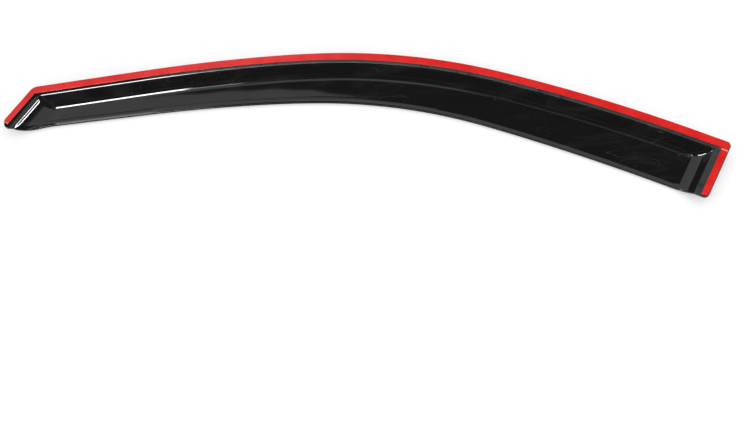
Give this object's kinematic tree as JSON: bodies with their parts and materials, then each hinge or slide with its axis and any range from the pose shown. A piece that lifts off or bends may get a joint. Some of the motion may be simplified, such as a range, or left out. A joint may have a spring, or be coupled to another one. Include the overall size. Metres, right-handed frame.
{
  "type": "window rain deflector",
  "caption": "Long curved moulded acrylic rain deflector for a front door window, a shallow tray with a flat flange edged with foam tape and red release liner.",
  "frame": {"origin": "centre of the part's plan box, on the surface that it lies on, under its outer main face", "axes": "+X along the deflector from its front tip to its rear end, +Y across it towards the taped top edge, +Z out of the tray, the way the taped flange faces"},
  "size_m": [1.0098, 0.2502, 0.0196],
  "materials": {
    "black_acrylic": "high gloss, moulded and polished",
    "foam_tape": "matt closed-cell acrylic foam",
    "red_liner": "smooth satin plastic film"
  },
  "bodies": {
    "root": {"visor": "black_acrylic", "top_tape_foam": "foam_tape", "top_tape_liner": "red_liner", "front_tape_foam": "foam_tape", "front_tape_liner": "red_liner", "rear_tape_foam": "foam_tape", "rear_tape_liner": "red_liner"}
  },
  "joints": []
}
